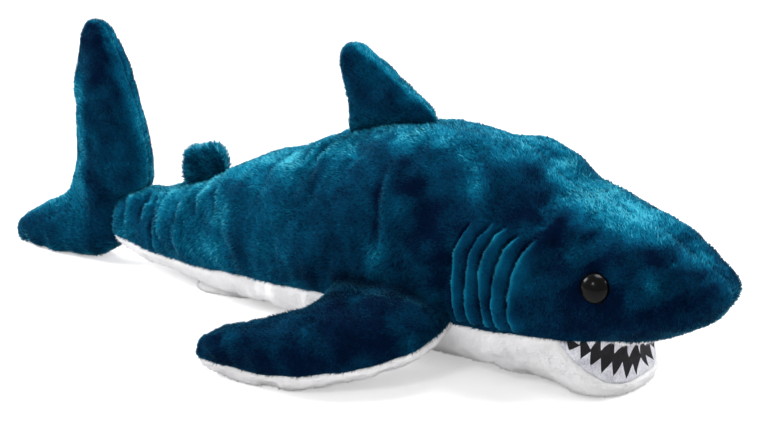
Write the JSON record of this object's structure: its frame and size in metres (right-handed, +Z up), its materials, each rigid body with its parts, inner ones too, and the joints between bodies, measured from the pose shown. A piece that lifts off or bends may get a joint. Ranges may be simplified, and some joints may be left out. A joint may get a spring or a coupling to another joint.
{
  "type": "plush mako shark",
  "caption": "Stuffed plush mako shark with a blue back, white belly, printed toothy mouth, dome eyes and soft sewn fins.",
  "frame": {"origin": "on the floor plane, in the flat patch of the belly under the front of the tail half, on the mid plane", "axes": "+X towards the nose, +Y towards the left side, +Z up from the floor"},
  "size_m": [0.8029, 0.3934, 0.2699],
  "materials": {
    "blue_plush": "brushed short-pile plush",
    "white_plush": "brushed short-pile plush",
    "mouth_fabric": "smooth printed fabric",
    "fibre_filling": "matt loose fibre",
    "eye_gloss": "polished black",
    "washer_plastic": "moulded natural"
  },
  "bodies": {
    "body": {"back_skin_left": "blue_plush", "back_skin_right": "blue_plush", "belly_skin": "white_plush", "mouth_panel": "mouth_fabric", "snout_underside": "white_plush", "body_filling": "fibre_filling", "eye_left": "eye_gloss", "eye_right": "eye_gloss", "eye_washer_left": "washer_plastic", "eye_washer_right": "washer_plastic"},
    "dorsal_fin": {"dorsal_skin_left": "blue_plush", "dorsal_skin_right": "blue_plush", "dorsal_filling": "fibre_filling"},
    "second_dorsal_fin": {"second_dorsal_skin_left": "blue_plush", "second_dorsal_skin_right": "blue_plush", "second_dorsal_filling": "fibre_filling"},
    "pectoral_fin_left": {"pectoral_left_top_skin": "blue_plush", "pectoral_left_bottom_skin": "white_plush", "pectoral_left_filling": "fibre_filling"},
    "pectoral_fin_right": {"pectoral_right_top_skin": "blue_plush", "pectoral_right_bottom_skin": "white_plush", "pectoral_right_filling": "fibre_filling"},
    "pelvic_fin_left": {"pelvic_left_top_skin": "white_plush", "pelvic_left_bottom_skin": "white_plush"},
    "pelvic_fin_right": {"pelvic_right_top_skin": "white_plush", "pelvic_right_bottom_skin": "white_plush"},
    "caudal_fin": {"caudal_skin_left": "blue_plush", "caudal_skin_right": "blue_plush", "caudal_filling": "fibre_filling"}
  },
  "joints": [
    {"name": "pectoral_left_root", "type": "hinge", "parent": "body", "child": "pectoral_fin_left", "pos_m": [0.004, 0.08527, 0.056], "axis": [0.9997, 0.0227, 0], "range_deg": [-15, 50], "stiffness_Nm_per_rad": 0.6},
    {"name": "pectoral_right_root", "type": "hinge", "parent": "body", "child": "pectoral_fin_right", "pos_m": [0.004, -0.08527, 0.056], "axis": [-0.9997, 0.0227, 0], "range_deg": [-15, 50], "stiffness_Nm_per_rad": 0.6},
    {"name": "dorsal_root", "type": "hinge", "parent": "body", "child": "dorsal_fin", "pos_m": [-0.04, 0, 0.18432], "axis": [0.9689, 0, 0.2476], "range_deg": [-35, 35], "stiffness_Nm_per_rad": 0.3},
    {"name": "second_dorsal_root", "type": "hinge", "parent": "body", "child": "second_dorsal_fin", "pos_m": [-0.23, 0, 0.09793], "axis": [0.9266, 0, 0.376], "range_deg": [-35, 35], "stiffness_Nm_per_rad": 0.1},
    {"name": "caudal_root", "type": "hinge", "parent": "body", "child": "caudal_fin", "pos_m": [-0.3, 0, 0.06], "axis": [0, 0, 1], "range_deg": [-35, 35], "stiffness_Nm_per_rad": 1},
    {"name": "pelvic_left_root", "type": "hinge", "parent": "body", "child": "pelvic_fin_left", "pos_m": [-0.176, 0.011, 0.00504], "axis": [0.9998, 0, -0.0193], "range_deg": [-60, 0], "stiffness_Nm_per_rad": 0.02},
    {"name": "pelvic_right_root", "type": "hinge", "parent": "body", "child": "pelvic_fin_right", "pos_m": [-0.176, -0.011, 0.00504], "axis": [-0.9998, 0, 0.0193], "range_deg": [-60, 0], "stiffness_Nm_per_rad": 0.02}
  ]
}
